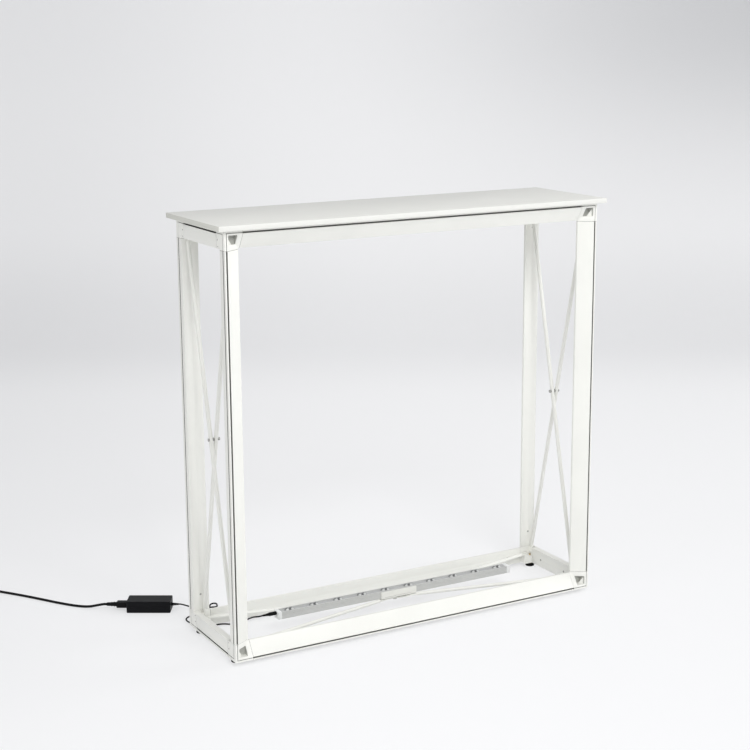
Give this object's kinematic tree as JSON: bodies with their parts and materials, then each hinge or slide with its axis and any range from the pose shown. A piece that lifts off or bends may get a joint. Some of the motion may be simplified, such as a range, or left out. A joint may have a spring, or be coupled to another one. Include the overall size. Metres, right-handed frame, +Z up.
{
  "type": "backlit exhibition counter",
  "caption": "Knock-down aluminium counter frame with a white board on top, crossed braces, a light bar near the floor, levelling feet and a power supply on its lead.",
  "frame": {"origin": "on the floor, under the middle of the frame", "axes": "+X along the counter, +Y from front to back, +Z up"},
  "size_m": [1.4979, 0.9615, 1.023],
  "materials": {
    "frame_paint": "white powder coat, satin",
    "brace_paint": "white powder coat, satin",
    "board_white": "white laminate on board, matt",
    "white_plastic": "moulded, fine matt",
    "light_aluminium": "anodised, satin",
    "circuit": "white solder mask",
    "lens": "clear, moulded",
    "steel": "zinc-plated",
    "brass": "turned",
    "rubber": "matt black",
    "black_plastic": "fine matt"
  },
  "bodies": {
    "frame": {"front_post_left": "frame_paint", "front_post_right": "frame_paint", "front_rail_bottom": "frame_paint", "front_rail_top": "frame_paint", "back_post_left": "frame_paint", "back_post_right": "frame_paint", "back_rail_bottom": "frame_paint", "back_rail_top": "frame_paint", "side_rail_left_bottom": "frame_paint", "connector_front_left_bottom": "white_plastic", "connector_back_left_bottom": "white_plastic", "side_rail_left_top": "frame_paint", "connector_front_left_top": "white_plastic", "connector_back_left_top": "white_plastic", "side_brace_left_outer": "brace_paint", "side_brace_left_inner": "brace_paint", "side_brace_left_pin": "steel", "side_rail_right_bottom": "frame_paint", "connector_front_right_bottom": "white_plastic", "connector_back_right_bottom": "white_plastic", "side_rail_right_top": "frame_paint", "connector_front_right_top": "white_plastic", "connector_back_right_top": "white_plastic", "side_brace_right_outer": "brace_paint", "side_brace_right_inner": "brace_paint", "side_brace_right_pin": "steel", "bottom_brace_upper": "brace_paint", "bottom_brace_lower": "brace_paint", "bottom_brace_hub": "steel", "light_clip": "brace_paint", "light_housing": "light_aluminium", "light_circuit": "circuit", "light_lenses": "lens", "light_cap_left": "white_plastic", "light_cap_right": "white_plastic", "lead_plug": "black_plastic", "lead_cord": "rubber", "power_lead_relief": "rubber", "power_supply_lower": "black_plastic", "power_supply_upper": "black_plastic", "mains_connector": "black_plastic", "mains_cord": "rubber", "mains_coil": "rubber", "coil_tie": "black_plastic", "mains_tail": "rubber", "mains_plug": "black_plastic"},
    "counter_top": {"counter_top": "board_white", "board_peg_front_left": "white_plastic", "board_peg_front_right": "white_plastic", "board_peg_back_left": "white_plastic", "board_peg_back_right": "white_plastic"},
    "foot_front_left": {"foot_pad_front_left": "rubber", "foot_stud_front_left": "brass"},
    "foot_front_right": {"foot_pad_front_right": "rubber", "foot_stud_front_right": "brass"},
    "foot_back_left": {"foot_pad_back_left": "rubber", "foot_stud_back_left": "brass"},
    "foot_back_right": {"foot_pad_back_right": "rubber", "foot_stud_back_right": "brass"}
  },
  "joints": [
    {"name": "top_lift_off", "type": "slide", "parent": "frame", "child": "counter_top", "axis": [0, 0, 1], "range_m": [0, 0.05]},
    {"name": "foot_level_front_left", "type": "slide", "parent": "frame", "child": "foot_front_left", "axis": [0, 0, -1], "range_m": [0, 0.01]},
    {"name": "foot_level_front_right", "type": "slide", "parent": "frame", "child": "foot_front_right", "axis": [0, 0, -1], "range_m": [0, 0.01]},
    {"name": "foot_level_back_left", "type": "slide", "parent": "frame", "child": "foot_back_left", "axis": [0, 0, -1], "range_m": [0, 0.01]},
    {"name": "foot_level_back_right", "type": "slide", "parent": "frame", "child": "foot_back_right", "axis": [0, 0, -1], "range_m": [0, 0.01]}
  ]
}
